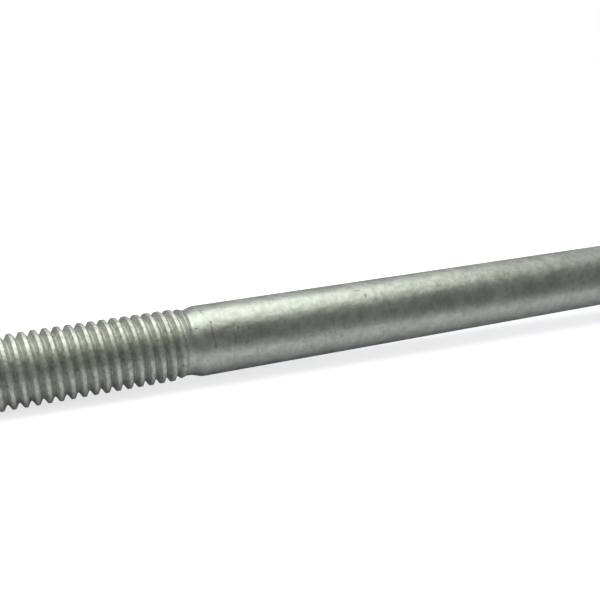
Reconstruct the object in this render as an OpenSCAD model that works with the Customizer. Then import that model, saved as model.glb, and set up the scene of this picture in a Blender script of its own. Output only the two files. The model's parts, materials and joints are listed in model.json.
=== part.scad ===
// Long hex-head bolt with a rolled coarse thread, lying as it rests on a level surface.
// Origin: centre of the bearing face under the head. The tip points along -X, +Z is up.

/* [Length] */
// Length from the bearing face under the head to the tip of the thread
bolt_l = 130; // [100:5:200]
// Length of the full thread, measured from the tip
thread_l = 32; // [20:1:40]

/* [Shank] */
// Diameter of the plain shank
shank_d = 9.9; // [9.86:0.02:10]
// Radius of the fillet between the shank and the bearing face
fillet_r = 0.4; // [0.2:0.1:0.6]

/* [Thread] */
// Pitch of the right-hand thread
pitch = 1.5; // [1.25:0.25:1.5]
// Diameter over the crests
crest_d = 9.86; // [9.7:0.02:9.86]
// Flat on the crest, as a share of the pitch
crest_flat = 0.22; // [0.12:0.01:0.24]
// Flat in the root, as a share of the pitch
root_flat = 0.18; // [0.13:0.01:0.2]
// Turn from straight up to where the crest runs out of the tip, in degrees
crest_start = 255; // [0:5:355]
// Length over which the thread fades out onto the neck
runout_l = 1.9; // [1.5:0.1:4]
// How much nearer to the head the thread fades out on the upper side than on the lower
runout_lean = 1.2; // [0:0.1:1.4]
// Width of the 45 degree chamfer on the tip
tip_chamfer = 1.05; // [0.8:0.05:1.5]
// Facets round the thread
thread_facets = 40; // [24:4:48]

/* [Neck] */
// Diameter of the bare blank between the thread and the taper
neck_d = 8.98; // [8.9:0.02:9.1]
// Length of the bare neck, on the lower side
neck_l = 0.6; // [0.6:0.1:2]
// Length of the taper from the neck up to the shank
taper_l = 1.5; // [1:0.1:3]

/* [Head] */
// Width across the flats of the hexagon
head_af = 16; // [15.7:0.1:17]
// Height of the head, with its washer face
head_h = 6.4; // [6:0.1:7]
// Diameter of the flat circle on top of the head
head_top_d = 15.2; // [14.6:0.1:15.6]
// Angle between that circle and the chamfer that rounds the corners
head_chamfer = 30; // [20:1:35]
// Diameter of the washer face
washer_d = 14.8; // [14.6:0.1:15.4]
// Height of the washer face
washer_h = 0.5; // [0.3:0.1:0.6]

/* [Hidden] */
$fn = 96;

// The bolt is drawn upright, with its axis on Z, the bearing face at 0 and the tip above it.
runout_z = bolt_l - thread_l - runout_l;
neck_z = runout_z - neck_l;
taper_z = neck_z - taper_l;
hex_h = head_h - washer_h;

// The flanks stand at 60 degrees, and take what the two flats leave of the pitch.
crest_r = crest_d / 2;
thread_depth = pitch * (1 - crest_flat - root_flat) / 2 * tan(60);
root_r = crest_r - thread_depth;
tip_r = crest_r - tip_chamfer;

// The neck is drawn with the thread, and starts halfway into the taper. The taper carries on
// inside the neck, so that their surfaces cross at an angle.
neck_r = neck_d / 2;
seat_z = taper_z + taper_l / 2;
taper_sink = neck_l / 2;
taper_end_d = neck_d - (shank_d - neck_d) * taper_sink / taper_l;

// One pitch of the thread, as [share of the pitch, radius].
profile = [
    [-crest_flat / 2, crest_r],
    [crest_flat / 2, crest_r],
    [(1 - root_flat) / 2, root_r],
    [(1 + root_flat) / 2, root_r],
];
// Each point of the profile draws a line along the thread, once for each turn.
lines_per_turn = len(profile);
turns_below_tip = ceil((bolt_l - seat_z) / pitch) + 1;
lines = lines_per_turn * (turns_below_tip + 3);

// Laid down, the bolt touches the ground with a flat of its head and with the thread's last crest.
crests_back = tip_chamfer / pitch + (180 - crest_start) / 360;
last_crest_z = bolt_l - tip_chamfer - pitch * (ceil(crests_back) - crests_back);
rest_tilt = atan((head_af / 2 - crest_r) / (last_crest_z + washer_h));

// Lines that would come closer than this to either end ring are drawn into it.
end_gap = 0.03;

// Height at which a line crosses a column, how much of the thread's form is left at a height in a
// column, and the line's radius there.
function line_z(line, column) =
    bolt_l + pitch * (
        floor(line / lines_per_turn) - turns_below_tip + profile[line % lines_per_turn][0]
        + column / thread_facets - crest_start / 360
    );
function fade(z, column) =
    let (lean = runout_lean * (1 + cos(360 * column / thread_facets)) / 2)
    min(1, max(0, (z - runout_z + lean) / runout_l));
function line_r(line, z, column) =
    min(
        neck_r + fade(z, column) * (profile[line % lines_per_turn][1] - neck_r),
        tip_r + bolt_l - z
    );

function on_column(column, r, z) =
    let (turn = 360 * column / thread_facets) [r * cos(turn), r * sin(turn), z];

// Points are numbered from the ring at the seat and the ring at the tip to the lines, column by
// column. What a line has beyond either ring shrinks to the point of that ring in its column.
function point_number(line, column) =
    column == thread_facets ? point_number(line + lines_per_turn, 0) :
    line_z(line, column) < seat_z + end_gap ? column :
    line_z(line, column) > bolt_l - end_gap ? thread_facets + column :
    2 * thread_facets + column * lines + line;

// A triangle is kept if its corners are three different points.
function kept(t) = t[0] == t[1] || t[1] == t[2] || t[2] == t[0] ? [] : [t];

function facets_between(line, column) =
    let (
        a = point_number(line, column),
        b = point_number(line, column + 1),
        c = point_number(line + 1, column + 1),
        d = point_number(line + 1, column)
    )
    concat(kept([a, c, b]), kept([a, d, c]));

// Thread, run-out and neck as one faceted solid.
module thread() {
    columns = [0 : thread_facets - 1];
    seat_ring = [for (column = columns) on_column(column, neck_r, seat_z)];
    tip_ring = [for (column = columns) on_column(column, tip_r, bolt_l)];
    line_points = [
        for (column = columns)
            for (line = [0 : lines - 1])
                let (z = min(bolt_l, max(seat_z, line_z(line, column))))
                on_column(column, line_r(line, z, column), z)
    ];
    sides = [
        for (column = columns)
            for (line = [0 : lines - lines_per_turn - 2])
                each facets_between(line, column)
    ];
    seat_face = [for (column = columns) column];
    tip_face = [for (column = columns) 2 * thread_facets - 1 - column];
    polyhedron(concat(seat_ring, tip_ring, line_points), concat(sides, [seat_face, tip_face]));
}

// Shank and taper, with the fillet under the head.
module shank() {
    cylinder(h = taper_z, d = shank_d);
    translate([0, 0, taper_z]) cylinder(h = taper_l + taper_sink, d1 = shank_d, d2 = taper_end_d);
    rotate_extrude() difference() {
        square([shank_d / 2 + fillet_r, fillet_r]);
        translate([shank_d / 2 + fillet_r, fillet_r]) circle(r = fillet_r);
    }
}

// The washer face is the end of a disc that is sunk halfway into the hexagon.
module head() {
    translate([0, 0, -head_h / 2]) cylinder(h = head_h / 2, d = washer_d);
    translate([0, 0, -head_h]) intersection() {
        rotate(30) cylinder(h = hex_h, d = head_af / cos(30), $fn = 6);
        cylinder(h = hex_h, d1 = head_top_d, d2 = head_top_d + 2 * hex_h / tan(head_chamfer));
    }
}

module bolt() {
    color([0.66, 0.68, 0.62]) rotate([0, -90 - rest_tilt, 0]) {
        head();
        shank();
        thread();
    }
}

bolt();
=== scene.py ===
"""A long hex head bolt of zinc plated steel, lying on a white floor under soft studio light."""

import json
import math

import bpy
import numpy as np
from mathutils import Euler, Matrix, Vector, noise


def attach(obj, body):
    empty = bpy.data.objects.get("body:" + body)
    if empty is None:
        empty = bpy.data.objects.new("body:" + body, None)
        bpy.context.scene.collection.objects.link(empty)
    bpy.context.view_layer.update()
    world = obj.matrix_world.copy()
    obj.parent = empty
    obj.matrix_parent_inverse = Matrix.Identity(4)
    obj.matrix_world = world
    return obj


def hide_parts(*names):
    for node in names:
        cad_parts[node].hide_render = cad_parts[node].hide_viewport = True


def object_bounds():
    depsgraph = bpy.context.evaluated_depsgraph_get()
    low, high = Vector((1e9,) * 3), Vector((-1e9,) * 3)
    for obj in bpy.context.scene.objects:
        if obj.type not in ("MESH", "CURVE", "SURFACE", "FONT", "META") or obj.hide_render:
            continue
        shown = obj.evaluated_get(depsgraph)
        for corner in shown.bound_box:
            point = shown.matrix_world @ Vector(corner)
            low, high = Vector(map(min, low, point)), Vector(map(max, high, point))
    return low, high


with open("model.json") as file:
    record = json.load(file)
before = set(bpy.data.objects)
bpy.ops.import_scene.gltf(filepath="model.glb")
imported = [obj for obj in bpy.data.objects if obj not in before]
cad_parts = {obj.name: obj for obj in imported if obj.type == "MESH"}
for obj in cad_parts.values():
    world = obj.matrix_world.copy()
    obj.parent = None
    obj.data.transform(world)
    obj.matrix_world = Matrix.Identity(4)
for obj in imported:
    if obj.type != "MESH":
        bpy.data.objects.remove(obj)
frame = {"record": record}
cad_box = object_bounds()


def opaque(r, g, b):
    return (r, g, b, 1.0)


MM = 0.001

# The bolt in millimetres, upright: its axis is on Z, the bearing face at 0 and the tip above it.
BOLT_L = 130.0
THREAD_L = 32.0
SHANK_R = 4.95
FILLET_R = 0.4
PITCH = 1.5
CREST_R = 4.93
CREST_FLAT = 0.3
ROOT_FLAT = 0.12
FLANK_SLOPE = math.tan(math.radians(60))
TIP_CHAMFER = 1.05
# Turn from straight up to where the crest runs out of the tip, in degrees.
CREST_START = 255.0
# Length over which the thread fades out onto the neck, and how much nearer to the head it does so
# on the upper side than on the lower.
RUNOUT_L = 1.9
RUNOUT_LEAN = 1.2
NECK_R = 4.49
NECK_L = 0.6
TAPER_L = 1.5
HEAD_AF = 16.0
HEAD_H = 6.4
HEAD_TOP_R = 7.6
HEAD_CHAMFER = math.radians(30)
WASHER_R = 7.4
WASHER_H = 0.5

RUNOUT_Z = BOLT_L - THREAD_L - RUNOUT_L
NECK_Z = RUNOUT_Z - NECK_L
TAPER_Z = NECK_Z - TAPER_L
SEAT_Z = TAPER_Z + TAPER_L / 2
TIP_R = CREST_R - TIP_CHAMFER
THREAD_DEPTH = PITCH * (1 - CREST_FLAT - ROOT_FLAT) / 2 * FLANK_SLOPE
ROOT_R = CREST_R - THREAD_DEPTH

# Mesh columns round the axis, and the turn of each from straight up.
COLUMNS = 144
TURNS = np.arange(COLUMNS) * 2 * math.pi / COLUMNS

# Lines of the thread along one pitch, as shares of the pitch, and how many turns of them are drawn
# below the tip and past it. What a line has within END_GAP of either end is drawn into the ring there.
HALF_PITCH = (0.08, 0.13, 0.15, 0.17, 0.22, 0.28, 0.35, 0.4, 0.43, 0.46)
PITCH_LINES = [-s for s in reversed(HALF_PITCH)] + [0.0] + list(HALF_PITCH) + [0.5]
TURNS_BELOW_TIP = math.ceil((BOLT_L - SEAT_Z) / PITCH) + 1
TURNS_PAST_TIP = 3
END_GAP = 0.01

# Rings of the mesh: radii across the top of the head, heights down its sides, how many there are in
# each rounded edge and in the fillet, heights along the shank and steps between them, finer near the
# taper, and radii across the tip, as shares of its edge's.
HEAD_TOP_RINGS = (2.5, 5.0, 6.6)
HEAD_SIDE_RINGS = (-4.5, -3.5, -2.5, -1.5)
EDGE_RINGS = 4
FILLET_RINGS = 7
SHANK_FROM, SHANK_STEP = 2.0, 1.5
FINE_FROM, FINE_STEP = 91.6, 0.12
TIP_RINGS = (1.0, 0.9, 0.45)
# Points nearer to the axis than this stand on it.
ON_AXIS = 1e-6

# How far edges are rounded, in millimetres.
CREST_ROUND = 0.015
ROOT_ROUND = 0.07
TAPER_ROUND = 0.03
TOP_ROUND = 0.2
CHAMFER_ROUND = 0.15
UNDER_ROUND = 0.12
WASHER_ROUND = 0.06
# The higher this power, the sharper the six upright edges of the head.
HEX_EDGE_POWER = 90
# Edges that turn by more than this are shaded sharp.
SHARP_EDGE = math.radians(32)

# The faint ring that the rolling dies left on the shank, just before the taper, and the turn from
# straight up at which it is faded out.
WITNESS_Z = 92.8
WITNESS_DEPTH = 0.03
WITNESS_WIDTH = 0.12
WITNESS_TURN = math.radians(60)

# Unevenness of the whole surface, and of the crests, which are also worn down a little: height in
# millimetres and features per millimetre. The wear starts this far below the crests, and is full
# after WORN_OVER. The head is left even.
SLOW_HEIGHT, SLOW_SCALE = 0.006, 0.13
CREST_HEIGHT, CREST_SCALE = 0.03, 0.6
CREST_NOISE_AT = Vector((7, 3, 1))
CREST_WEAR = 0.02
WORN_BELOW_CREST, WORN_OVER = 0.25, 0.2
EVEN_BELOW_Z = 1
# The painted shade in the thread's roots ends this far below the tip's flat face.
TIP_SKIN = 0.1

# The photograph's camera: size, lens and upward shift in pixels, place in millimetres and turn, and
# the nearest and furthest that it sees, in metres.
PICTURE_PX = 600
LENS_PX = 886
SHIFT_PX = 45
CAMERA_AT = (-128.075, -112.278, 38.522)
CAMERA_TURN = (math.radians(90 - 19.54), 0, math.radians(-23.95))
SENSOR_MM = 36.0
CLIP_M = (0.005, 20.0)

# Dark nicks and pale scuffs in the plating, placed in the photograph: pixel across, pixel down,
# and half of the length in millimetres along the bolt and round it.
NICKS = {
    "taper_tick": (200.5, 311.0, 0.10, 0.45),
    "taper_dot": (196.5, 328.5, 0.18, 0.16),
    "stroke_top": (211.5, 323.0, 0.10, 0.30),
    "stroke": (213.5, 334.0, 0.13, 1.20),
    "stroke_foot": (216.0, 344.5, 0.20, 0.60),
    "speck_a": (235.5, 340.0, 0.10, 0.70),
    "speck_b": (246.5, 342.0, 0.09, 0.45),
    "speck_c": (249.5, 328.0, 0.11, 0.40),
    "speck_d": (234.0, 325.0, 0.11, 0.35),
    "speck_e": (238.5, 328.0, 0.10, 0.35),
    "smear": (357.0, 290.5, 0.50, 0.12),
    "smear_end": (366.0, 295.5, 0.12, 0.30),
}
SCUFFS = {
    "neck_patch": (192.0, 325.0, 0.35, 0.50),
    "light_a": (247.0, 354.0, 1.00, 0.14),
    "light_b": (272.0, 348.0, 0.80, 0.20),
    "light_c": (302.5, 344.0, 0.40, 0.30),
    "bright_a": (379.0, 326.0, 1.20, 0.25),
    "bright_b": (430.0, 312.0, 0.60, 0.40),
    "bright_c": (440.5, 316.0, 0.80, 0.40),
}
# Their edges wander within this many millimetres, in features of so many per millimetre. A mark is
# gone at the first of the fade's shares of its size, and full inside the second.
RAGGED_BY = 0.2
RAGGED_SCALE = 4.0
MARK_FADE = (1.3, 0.5)

# Noises of the plating: features per millimetre along the bolt and across it, detail, roughness.
NOISES = {
    "clouds": (0.3, 0.3, 3.0, 0.6),
    "cloudlets": (0.9, 0.9, 4.0, 0.65),
    "patches": (0.16, 0.16, 2.0, 0.5),
    "specks": (3.4, 1.7, 2.0, 0.55),
    "mottle": (0.8, 0.8, 2.5, 0.55),
    "grain": (3.2, 3.2, 2.0, 0.6),
    "streaks": (5.0, 0.3, 3.0, 0.6),
    "dirt": (1.6, 1.6, 4.0, 0.7),
}
# The values of a noise between which its mask goes from 0 to 1.
FADES = {
    "clouds": (0.3, 0.7),
    "cloudlets": (0.38, 0.68),
    "patches": (0.4, 0.62),
    "specks": (0.56, 0.74),
    "grain": (0.3, 0.7),
    "streaks": (0.4, 0.7),
    "dirt": (0.42, 0.68),
}
# Groove depths between which the painted shade in the thread's roots goes from 0 to 1.
GROOVE_SHADE_FADE = (0.5, 1.0)
# Specks stain the plating this much outside of a patch, and in the middle of one.
STAINED = (0.2, 0.6)

# The plating's own two colours, and what lies over them in turn: its colour, and how much it covers.
CLOUD_DARK = opaque(0.566, 0.605, 0.553)
CLOUD_PALE = opaque(0.668, 0.71, 0.652)
COVERS = {
    "cloudlets": (opaque(0.41, 0.43, 0.41), 0.7),
    "thread": (opaque(0.8, 0.82, 0.77), 0.8),
    "grain": (opaque(0.45, 0.472, 0.45), 0.2),
    "streaks": (opaque(0.72, 0.75, 0.705), 0.25),
    "stains": (opaque(0.26, 0.27, 0.25), 0.6),
    "nicks": (opaque(0.18, 0.19, 0.17), 0.55),
    "scuffs": (opaque(0.85, 0.86, 0.84), 0.35),
    "dirt": (opaque(0.36, 0.36, 0.29), 0.65),
    # Painted shade: the thread's roots darkened with their depth.
    "groove_shade": (opaque(0.3, 0.31, 0.28), 0.3),
}
# Roughness in the dark clouds and in the pale ones, and what stains and the thread add to it.
ROUGHNESS = (0.38, 0.46)
ROUGHER = {"stains": 0.1, "thread": 0.08}
# Height of the fine forms, and of the sunk nicks, in steps of RELIEF_STEP millimetres.
RELIEF = {"grain": 0.3, "streaks": 0.4, "mottle": 5.0}
NICK_RELIEF = -3.0
RELIEF_STEP = 0.012

# The floor: half of its side in metres, its colours, how much it glows for the camera near the bolt,
# which lifts the shadow, and between which distances from the bolt's middle it turns to plain white.
FLOOR_REACH = 3.0
FLOOR_COLOUR = opaque(0.82, 0.79, 0.82)
BLACK = opaque(0.0, 0.0, 0.0)
WHITE = opaque(1.0, 1.0, 1.0)
SHADOW_LIFT = 0.7
PLAIN_FADE = (0.12, 0.35)
# Between which Y, in metres, the floor in front and the floor behind go over to a set brightness in
# reflections.
FRONT_FADE = (-0.009, -0.03)
REAR_FADE = (0.0, 0.01)

# How bright a reflection finds the backdrop, the dim room before it, and the floor in front and
# behind, where white is 1, and what light the room gives besides the lamp.
BACKDROP_MIRRORED = 0.4
ROOM_MIRRORED = 0.153
FRONT_FLOOR_MIRRORED = 0.18
REAR_FLOOR_MIRRORED = 0.14
ROOM_COLOUR = opaque(1.0, 0.99, 0.97)
AMBIENT_COLOUR = opaque(0.93, 0.98, 1.08)
AMBIENT_STRENGTH = 0.33
# The directions, as Y and Z of their unit vector, over which the room gives way to the backdrop.
BACKDROP_FADE_Y = (-0.35, 0.45)
BACKDROP_FADE_Z = (-0.05, 0.4)

# The lamp: place and size in metres, where it faces, brightness and colour.
KEY_AT = (-0.16, 0.043, 0.618)
KEY_FACING = (0, -0.070, -0.998)
KEY_SIZE = (0.88, 0.716)
KEY_RADIANCE = 1.65
KEY_COLOUR = (1.0, 1.03, 0.93)


def soft_min(a, b, width):
    """The lower of a and b, with the crossing rounded over about width."""
    middle = np.minimum(a, b)
    return middle - width * np.log(np.exp((middle - a) / width) + np.exp((middle - b) / width))


def soft_max(a, b, width):
    return -soft_min(-a, -b, width)


def smooth_step(t):
    t = np.clip(t, 0, 1)
    return t * t * (3 - 2 * t)


# ---- outline of the head, as rings of radius and height ----

def hexagon_r():
    """Radius of the hexagon's sides in each column, with flats up and down and softened corners."""
    sides = np.arange(6) * math.pi / 3
    reach = np.maximum(0, np.cos(TURNS[:, None] - sides[None, :])) / (HEAD_AF / 2)
    return (reach ** HEX_EDGE_POWER).sum(1) ** (-1 / HEX_EDGE_POWER)


def ring(r, z):
    """One point for each column: radius and height, each a number or one value a column."""
    return np.stack([r + 0 * TURNS, z + 0 * TURNS], 1)


def rounded(before, corner, after, width):
    """Rings that take a corner of the outline in a small curve which starts width before it."""
    def towards(other):
        way = other - corner
        return corner + way / np.linalg.norm(way, axis=1)[:, None] * width
    start, end = towards(before), towards(after)
    shares = np.linspace(0, 1, EDGE_RINGS)
    return [(1 - u) ** 2 * start + 2 * u * (1 - u) * corner + u * u * end for u in shares]


def head_rings():
    hex_r = hexagon_r()
    top = ring(HEAD_TOP_R, -HEAD_H)
    chamfer = ring(hex_r, -HEAD_H + (hex_r - HEAD_TOP_R) * math.tan(HEAD_CHAMFER))
    under = ring(hex_r, -WASHER_H)
    inner = ring(WASHER_R, -WASHER_H)
    washer = ring(WASHER_R, 0)
    face = ring(SHANK_R + FILLET_R, 0)
    rings = [ring(r, -HEAD_H) for r in HEAD_TOP_RINGS]
    rings += rounded(rings[-1], top, chamfer, TOP_ROUND)
    rings += rounded(top, chamfer, under, CHAMFER_ROUND)
    rings += [ring(hex_r, z) for z in HEAD_SIDE_RINGS]
    rings += rounded(chamfer, under, inner, UNDER_ROUND)
    rings += [inner]
    rings += rounded(inner, washer, face, WASHER_ROUND)
    return rings


def fillet_rings():
    angles = np.linspace(0, math.pi / 2, FILLET_RINGS)
    centre_r = SHANK_R + FILLET_R
    return [
        ring(centre_r - FILLET_R * math.sin(a), FILLET_R * (1 - math.cos(a)))
        for a in angles
    ]


# ---- shank, neck and thread ----

def cone_r(z):
    return SHANK_R - (z - TAPER_Z) * (SHANK_R - NECK_R) / TAPER_L


def taper_r(z):
    """Radius of the shank and of the taper down to the neck."""
    return soft_max(soft_min(cone_r(z), SHANK_R, TAPER_ROUND), NECK_R, TAPER_ROUND)


def formed(z, turn):
    """How much of the thread's form there is: none on the neck, all of it past the run-out."""
    lean = RUNOUT_LEAN * (1 + np.cos(turn)) / 2
    return smooth_step((z - RUNOUT_Z + lean) / RUNOUT_L)


def formed_at(points):
    return formed(points[:, 2], np.arctan2(points[:, 1], points[:, 0]))


def witness(z):
    """The rolling mark: deep on one side of the shank, and faded out on the other."""
    strength = 0.5 - 0.5 * np.cos(TURNS - WITNESS_TURN)
    return WITNESS_DEPTH * strength * math.exp(-((z - WITNESS_Z) / WITNESS_WIDTH) ** 2)


def shank_rings():
    coarse = np.arange(SHANK_FROM, FINE_FROM, SHANK_STEP)
    fine = np.arange(FINE_FROM, SEAT_Z - END_GAP, FINE_STEP)
    heights = [*coarse, *fine]
    return [ring(taper_r(z) - witness(z), z) for z in heights]


def profile_r(share):
    """Radius of the finished thread at a share of the pitch away from its crest."""
    flank = CREST_R - (abs(share) - CREST_FLAT / 2) * PITCH * FLANK_SLOPE
    return soft_max(soft_min(flank, CREST_R, CREST_ROUND), ROOT_R, ROOT_ROUND)


def thread_lines():
    """Radius and height of every thread line in every column, both as lines by columns."""
    shares = np.array(PITCH_LINES)
    whole_turns = np.arange(TURNS_BELOW_TIP + TURNS_PAST_TIP) - TURNS_BELOW_TIP
    line_turn = (whole_turns[:, None] + shares[None, :]).ravel()
    z = BOLT_L + PITCH * (line_turn[:, None] + (TURNS[None, :] / (2 * math.pi) - CREST_START / 360))
    full = np.tile([profile_r(s) for s in shares], len(whole_turns))[:, None]
    r = NECK_R + formed(z, TURNS[None, :]) * (full - NECK_R)
    r = soft_max(r, cone_r(z), TAPER_ROUND)
    return soft_min(r, TIP_R + BOLT_L - z, CREST_ROUND), z


# ---- the whole surface as one closed mesh ----

def to_points(r, z):
    """Points in millimetres from radius and height in every column."""
    return np.stack([r * np.cos(TURNS), r * np.sin(TURNS), z], -1).reshape(-1, 3)


def ring_faces(numbers):
    """Quads between neighbouring rings, from a table of point numbers by ring and column."""
    a = numbers[:-1]
    b = np.roll(a, -1, axis=1)
    d = numbers[1:]
    c = np.roll(d, -1, axis=1)
    return np.stack([a, b, c, d], -1).reshape(-1, 4)


def fan_faces(pole, numbers):
    following = np.roll(numbers, -1)
    return np.stack([np.full_like(numbers, pole), numbers, following], -1)


def thread_faces(z, first, seat, tip):
    """Triangles between the thread's lines. Beyond either end a line runs on in that end's ring."""
    count = len(z)
    numbers = first + np.arange(count * COLUMNS).reshape(count, COLUMNS)
    numbers = np.where(z < SEAT_Z + END_GAP, seat[None, :], numbers)
    numbers = np.where(z > BOLT_L - END_GAP, tip[None, :], numbers)
    step = len(PITCH_LINES)
    wrapped = np.concatenate([numbers[:-step], numbers[step:, :1]], axis=1)
    a, b = wrapped[:-1, :-1], wrapped[:-1, 1:]
    d, c = wrapped[1:, :-1], wrapped[1:, 1:]
    halves = [np.stack(corners, -1).reshape(-1, 3) for corners in ((a, b, c), (a, c, d))]
    faces = np.concatenate(halves)
    whole = (faces != np.roll(faces, 1, axis=1)).all(axis=1)
    return faces[whole]


def uneven(points):
    """How far each point of the surface stands off, as rolled and plated steel does."""
    off_axis = np.hypot(points[:, 0], points[:, 1])
    crest = smooth_step((off_axis - CREST_R + WORN_BELOW_CREST) / WORN_OVER)
    slow = np.array([noise.noise(Vector(p) * SLOW_SCALE) for p in points])
    quick = np.array([noise.noise(Vector(p) * CREST_SCALE + CREST_NOISE_AT) for p in points])
    worn = CREST_HEIGHT * quick - CREST_WEAR
    return SLOW_HEIGHT * slow + formed_at(points) * crest * worn


def bolt_surface():
    """Points, quads and triangles: rings up to the seat, rings of the tip, and the thread between."""
    body = np.stack([*head_rings(), *fillet_rings(), *shank_rings(), ring(taper_r(SEAT_Z), SEAT_Z)])
    end = np.stack([ring(TIP_R * share, BOLT_L) for share in TIP_RINGS])
    line_r, line_z = thread_lines()
    body_points = to_points(body[..., 0], body[..., 1])
    end_points = to_points(end[..., 0], end[..., 1])
    poles = np.array([[0, 0, -HEAD_H], [0, 0, BOLT_L]])
    points = np.concatenate([body_points, end_points, to_points(line_r, line_z), poles])
    body_numbers = np.arange(len(body_points)).reshape(-1, COLUMNS)
    end_numbers = len(body_points) + np.arange(len(end_points)).reshape(-1, COLUMNS)
    first = len(body_points) + len(end_points)
    head_pole, tip_pole = len(points) - 2, len(points) - 1
    quads = np.concatenate([ring_faces(body_numbers), ring_faces(end_numbers)])
    triangles = np.concatenate([
        thread_faces(line_z, first, body_numbers[-1], end_numbers[0]),
        fan_faces(head_pole, body_numbers[0])[:, ::-1],
        fan_faces(tip_pole, end_numbers[-1]),
    ])
    return points, quads, triangles


def used_only(points, quads, triangles):
    """Leaves out the points of thread lines that run on in an end ring."""
    used = np.unique(np.concatenate([quads.ravel(), triangles.ravel()]))
    renumber = np.full(len(points), -1)
    renumber[used] = np.arange(len(used))
    return points[used], renumber[quads], renumber[triangles]


def lie_down(points):
    """From the upright bolt in millimetres to the frame in metres, with the way to the tip there."""
    mounts = {m["name"]: m for m in frame["record"]["mounts"]}
    along = Vector(mounts["under_head"]["axis"]).normalized()
    across = Vector((0, 1, 0))
    up = across.cross(along)
    return points @ np.array([up, across, along]) * MM, along


def make_bolt():
    points, quads, triangles = used_only(*bolt_surface())
    radial = np.concatenate([points[:, :2], np.zeros((len(points), 1))], 1)
    off_axis = np.maximum(np.linalg.norm(radial, axis=1), ON_AXIS)
    below_tip = points[:, 2] < BOLT_L - TIP_SKIN
    # How deep each point lies in the thread, crest 0 and root 1, for the painted shade in the roots.
    groove_shade = np.clip((CREST_R - off_axis) / THREAD_DEPTH, 0, 1) * formed_at(points) * below_tip
    stands_off = uneven(points) * (points[:, 2] > EVEN_BELOW_Z)
    laid, along = lie_down(points + radial * (stands_off / off_axis)[:, None])

    mesh = bpy.data.meshes.new("bolt_body")
    mesh.from_pydata(laid.tolist(), [], quads.tolist() + triangles.tolist())
    attribute = mesh.attributes.new("groove_shade", "FLOAT", "POINT")
    attribute.data.foreach_set("value", groove_shade.astype(np.float32))
    mesh.validate()
    mesh.shade_smooth()
    mesh.set_sharp_from_angle(angle=SHARP_EDGE)
    bolt = bpy.data.objects.new("bolt_body", mesh)
    bpy.context.scene.collection.objects.link(bolt)
    return bolt, along


# ---- material nodes ----

def add_node(tree, kind, inputs=None, **settings):
    """Adds a node, sets its properties, and fills or links its inputs by name or number."""
    made = tree.nodes.new(kind)
    for name, value in settings.items():
        setattr(made, name, value)
    for name, value in (inputs or {}).items():
        fill(tree, made.inputs[name], value)
    return made


def fill(tree, socket, value):
    if isinstance(value, bpy.types.NodeSocket):
        tree.links.new(value, socket)
    else:
        socket.default_value = value


def calculate(tree, operation, *values, clamp=False):
    inputs = dict(enumerate(values))
    return add_node(tree, "ShaderNodeMath", inputs, operation=operation, use_clamp=clamp).outputs[0]


def of_vectors(tree, operation, *values):
    """The vector that an operation makes of vectors."""
    inputs = dict(enumerate(values))
    return add_node(tree, "ShaderNodeVectorMath", inputs, operation=operation).outputs["Vector"]


def length(tree, vector):
    return add_node(tree, "ShaderNodeVectorMath", {0: vector}, operation="LENGTH").outputs["Value"]


def between(tree, value, low, high, to_low=0.0, to_high=1.0):
    """Smooth change from to_low to to_high as value goes from low to high."""
    inputs = {"Value": value, "From Min": low, "From Max": high, "To Min": to_low, "To Max": to_high}
    made = add_node(tree, "ShaderNodeMapRange", inputs, interpolation_type="SMOOTHSTEP")
    return made.outputs[0]


def mix_colour(tree, share, first, second):
    made = add_node(tree, "ShaderNodeMix", data_type="RGBA", clamp_factor=True)
    sockets = {s.identifier: s for s in made.inputs}
    for name, value in (("Factor_Float", share), ("A_Color", first), ("B_Color", second)):
        fill(tree, sockets[name], value)
    return next(s for s in made.outputs if s.identifier == "Result_Color")


def new_material(name):
    material = bpy.data.materials.new(name)
    material.use_nodes = True
    material.node_tree.nodes.clear()
    return material, material.node_tree


# ---- zinc plating ----

def bolt_coordinates(tree, along):
    """Millimetres: straight has the bolt's axis on -X, unrolled is height and arc round the shank."""
    tilt = math.atan2(along.z, along.x) - math.pi
    where = add_node(tree, "ShaderNodeTexCoord").outputs["Object"]
    inputs = {"Vector": where, "Rotation": (0, tilt, 0), "Scale": (1 / MM,) * 3}
    straight = add_node(tree, "ShaderNodeMapping", inputs).outputs[0]
    parts = add_node(tree, "ShaderNodeSeparateXYZ", {0: straight}).outputs
    height = calculate(tree, "MULTIPLY", parts["X"], -1.0)
    arc = calculate(tree, "MULTIPLY", calculate(tree, "ARCTAN2", parts["Y"], parts["Z"]), SHANK_R)
    unrolled = add_node(tree, "ShaderNodeCombineXYZ", {"X": height, "Y": arc}).outputs[0]
    return straight, unrolled, height


def plating_noise(tree, straight, per_mm_along, per_mm_across, detail, roughness):
    scale = (per_mm_along, per_mm_across, per_mm_across)
    stretched = add_node(tree, "ShaderNodeMapping", {"Vector": straight, "Scale": scale}).outputs[0]
    inputs = {"Vector": stretched, "Scale": 1.0, "Detail": detail, "Roughness": roughness}
    return add_node(tree, "ShaderNodeTexNoise", inputs).outputs[0]


def on_the_shank(across, down, along):
    """Height and arc, in millimetres, of the place on the shank that the camera sees at a pixel.

    The camera's ray is met with an endless cylinder of the shank's radius, and its first hit counts.
    """
    half = PICTURE_PX / 2
    start = Vector(CAMERA_AT)
    ray = Euler(CAMERA_TURN).to_matrix() @ Vector((across - half, half + SHIFT_PX - down, -LENS_PX))
    ray_off = ray - ray.dot(along) * along
    start_off = start - start.dot(along) * along
    nearest = -ray_off.dot(start_off) / ray_off.length_squared
    reach = nearest ** 2 - (start_off.length_squared - SHANK_R ** 2) / ray_off.length_squared
    point = start + ray * (nearest - math.sqrt(max(0, reach)))
    up = Vector((along.z, 0, -along.x))
    return point.dot(along), math.atan2(point.y, point.dot(up)) * SHANK_R


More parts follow.
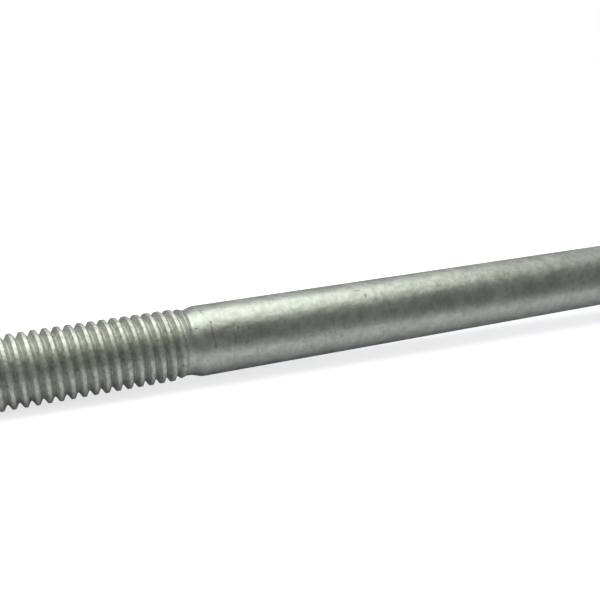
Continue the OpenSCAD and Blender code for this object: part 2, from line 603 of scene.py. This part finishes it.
def mark_mask(tree, ragged, along, marks):
    """Where the marks are. The ragged coordinates are height and arc, moved to and fro a little."""
    mask = 0.0
    for across, down, half_length, half_round in marks.values():
        centre = (*on_the_shank(across, down, along), 0)
        away = of_vectors(tree, "SUBTRACT", ragged, centre)
        away = of_vectors(tree, "MULTIPLY", away, (1 / half_length, 1 / half_round, 0))
        mask = calculate(tree, "MAXIMUM", mask, between(tree, length(tree, away), *MARK_FADE))
    return mask


def plating(tree, along):
    """The plating's noises, and its masks from 0 to 1, by name."""
    straight, unrolled, height = bolt_coordinates(tree, along)
    noises = {name: plating_noise(tree, straight, *settings) for name, settings in NOISES.items()}
    masks = {name: between(tree, noises[name], *fade) for name, fade in FADES.items()}

    inputs = {"Vector": straight, "Scale": RAGGED_SCALE}
    shake = add_node(tree, "ShaderNodeTexNoise", inputs).outputs["Color"]
    shake = of_vectors(tree, "SUBTRACT", shake, (0.5,) * 3)
    ragged = of_vectors(tree, "MULTIPLY_ADD", shake, (RAGGED_BY,) * 3, unrolled)
    masks["nicks"] = mark_mask(tree, ragged, along, NICKS)
    masks["scuffs"] = mark_mask(tree, ragged, along, SCUFFS)

    stained = between(tree, masks["patches"], 0.0, 1.0, *STAINED)
    masks["stains"] = calculate(tree, "MULTIPLY", masks["specks"], stained)
    masks["thread"] = between(tree, height, NECK_Z, NECK_Z + PITCH)
    masks["dirt"] = calculate(tree, "MULTIPLY", masks["dirt"], masks["thread"])
    # Painted shade in the thread's roots, from the depth stored on the mesh.
    groove_shade = add_node(tree, "ShaderNodeAttribute", attribute_name="groove_shade").outputs["Fac"]
    masks["groove_shade"] = between(tree, groove_shade, *GROOVE_SHADE_FADE)
    return noises, masks


def zinc_material(along):
    """Dull zinc on rolled steel: clouds, fine grain, turning streaks, nicks and painted shade in the
    thread roots.
    """
    material, tree = new_material("zinc_plated_steel")
    noises, masks = plating(tree, along)

    colour = mix_colour(tree, masks["clouds"], CLOUD_DARK, CLOUD_PALE)
    for name, (cover, most) in COVERS.items():
        share = calculate(tree, "MULTIPLY", masks[name], most)
        colour = mix_colour(tree, share, colour, cover)

    rough = between(tree, noises["clouds"], *FADES["clouds"], *ROUGHNESS)
    for name, more in ROUGHER.items():
        rough = calculate(tree, "MULTIPLY_ADD", masks[name], more, rough)

    height = calculate(tree, "MULTIPLY", masks["nicks"], NICK_RELIEF)
    for name, steps in RELIEF.items():
        height = calculate(tree, "MULTIPLY_ADD", noises[name], steps, height)
    relief = {"Strength": 1.0, "Distance": RELIEF_STEP * MM, "Height": height}
    bump = add_node(tree, "ShaderNodeBump", relief).outputs[0]
    surface = {"Base Color": colour, "Metallic": 1.0, "Roughness": rough, "Normal": bump}
    shader = add_node(tree, "ShaderNodeBsdfPrincipled", surface).outputs[0]
    add_node(tree, "ShaderNodeOutputMaterial", {"Surface": shader})
    return material


# ---- floor, light and camera ----

def ray_kinds(tree):
    """Camera or transmission rays, and glossy rays, each as a share from 0 to 1."""
    path = add_node(tree, "ShaderNodeLightPath").outputs
    straight = calculate(tree, "ADD", path["Is Camera Ray"], path["Is Transmission Ray"], clamp=True)
    return straight, path["Is Glossy Ray"]


def floor_material():
    """White floor that keeps the shadow near the bolt, and is plain white further out."""
    material, tree = new_material("floor_white")
    where = add_node(tree, "ShaderNodeTexCoord").outputs["Object"]
    y = add_node(tree, "ShaderNodeSeparateXYZ", {0: where}).outputs["Y"]
    straight, mirrored = ray_kinds(tree)
    far = between(tree, length(tree, where), *PLAIN_FADE)
    front = between(tree, y, *FRONT_FADE)
    behind = between(tree, y, *REAR_FADE)

    before = calculate(tree, "MULTIPLY", front, FRONT_FLOOR_MIRRORED)
    after = calculate(tree, "MULTIPLY", behind, REAR_FLOOR_MIRRORED)
    straight_glow = calculate(tree, "MULTIPLY", straight, between(tree, far, 0.0, 1.0, SHADOW_LIFT, 1.0))
    mirrored_glow = calculate(tree, "MULTIPLY", mirrored, calculate(tree, "MAXIMUM", before, after))
    strength = calculate(tree, "ADD", straight_glow, mirrored_glow)
    glow = add_node(tree, "ShaderNodeEmission", {"Color": WHITE, "Strength": strength}).outputs[0]

    fixed = calculate(tree, "MAXIMUM", front, behind)
    plain_white = calculate(tree, "MULTIPLY", straight, far)
    unlit = calculate(tree, "MULTIPLY_ADD", mirrored, fixed, plain_white, clamp=True)
    lit = add_node(tree, "ShaderNodeBsdfDiffuse", {"Color": FLOOR_COLOUR}).outputs[0]
    black = add_node(tree, "ShaderNodeBsdfDiffuse", {"Color": BLACK}).outputs[0]
    base = add_node(tree, "ShaderNodeMixShader", {0: unlit, 1: lit, 2: black}).outputs[0]
    both = add_node(tree, "ShaderNodeAddShader", {0: base, 1: glow}).outputs[0]
    add_node(tree, "ShaderNodeOutputMaterial", {"Surface": both})
    return material


def make_floor(centre):
    mesh = bpy.data.meshes.new("floor")
    corners = [(-1, -1), (1, -1), (1, 1), (-1, 1)]
    mesh.from_pydata([(x * FLOOR_REACH, y * FLOOR_REACH, 0) for x, y in corners], [], [(0, 1, 2, 3)])
    floor = bpy.data.objects.new("floor", mesh)
    floor.location = (centre.x, centre.y, cad_box[0].z)
    mesh.materials.append(floor_material())
    bpy.context.scene.collection.objects.link(floor)
    return floor


def background(tree, colour, strength):
    return add_node(tree, "ShaderNodeBackground", {"Color": colour, "Strength": strength}).outputs[0]


def make_world():
    """White to the camera. In reflections the back is pale and the room in front is dim."""
    world = bpy.data.worlds.new("studio")
    bpy.context.scene.world = world
    world.use_nodes = True
    tree = world.node_tree
    tree.nodes.clear()
    direction = add_node(tree, "ShaderNodeTexCoord").outputs["Generated"]
    parts = add_node(tree, "ShaderNodeSeparateXYZ", {0: direction}).outputs
    straight, mirrored = ray_kinds(tree)
    to_the_back = between(tree, parts["Y"], *BACKDROP_FADE_Y)
    back = calculate(tree, "MULTIPLY", to_the_back, between(tree, parts["Z"], *BACKDROP_FADE_Z))

    room = background(tree, ROOM_COLOUR, ROOM_MIRRORED)
    backdrop = background(tree, WHITE, BACKDROP_MIRRORED)
    ambient = background(tree, AMBIENT_COLOUR, AMBIENT_STRENGTH)
    white = background(tree, WHITE, 1.0)
    shown = add_node(tree, "ShaderNodeMixShader", {0: back, 1: room, 2: backdrop}).outputs[0]
    shown = add_node(tree, "ShaderNodeMixShader", {0: mirrored, 1: ambient, 2: shown}).outputs[0]
    shown = add_node(tree, "ShaderNodeMixShader", {0: straight, 1: shown, 2: white}).outputs[0]
    add_node(tree, "ShaderNodeOutputWorld", {"Surface": shown})


def make_key():
    """One large soft lamp above the bolt, with its long side along X."""
    lamp = bpy.data.lights.new("key", "AREA")
    lamp.shape = "RECTANGLE"
    lamp.size, lamp.size_y = KEY_SIZE
    lamp.energy = KEY_RADIANCE * math.pi * lamp.size * lamp.size_y
    lamp.color = KEY_COLOUR
    backward = -Vector(KEY_FACING).normalized()
    side = Vector((1, 0, 0))
    side = (side - side.dot(backward) * backward).normalized()
    made = bpy.data.objects.new("key", lamp)
    made.location = KEY_AT
    made.rotation_euler = Matrix((side, backward.cross(side), backward)).transposed().to_euler()
    bpy.context.scene.collection.objects.link(made)


def make_camera():
    """The photograph's viewpoint: a lens of about 53 mm, 120 mm away from the bolt's axis."""
    camera = bpy.data.cameras.new("camera")
    camera.sensor_width = SENSOR_MM
    camera.lens = LENS_PX / PICTURE_PX * SENSOR_MM
    camera.shift_y = SHIFT_PX / PICTURE_PX
    camera.clip_start, camera.clip_end = CLIP_M
    made = bpy.data.objects.new("camera", camera)
    made.location = Vector(CAMERA_AT) * MM
    made.rotation_euler = CAMERA_TURN
    bpy.context.scene.collection.objects.link(made)
    bpy.context.scene.camera = made


def main():
    bolt, along = make_bolt()
    bolt.data.materials.append(zinc_material(along))
    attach(bolt, "root")
    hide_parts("bolt")

    middle = (cad_box[0] + cad_box[1]) / 2
    floor = make_floor(middle)
    make_world()
    make_key()
    make_camera()
    bpy.context.scene.view_settings.view_transform = "Standard"


main()
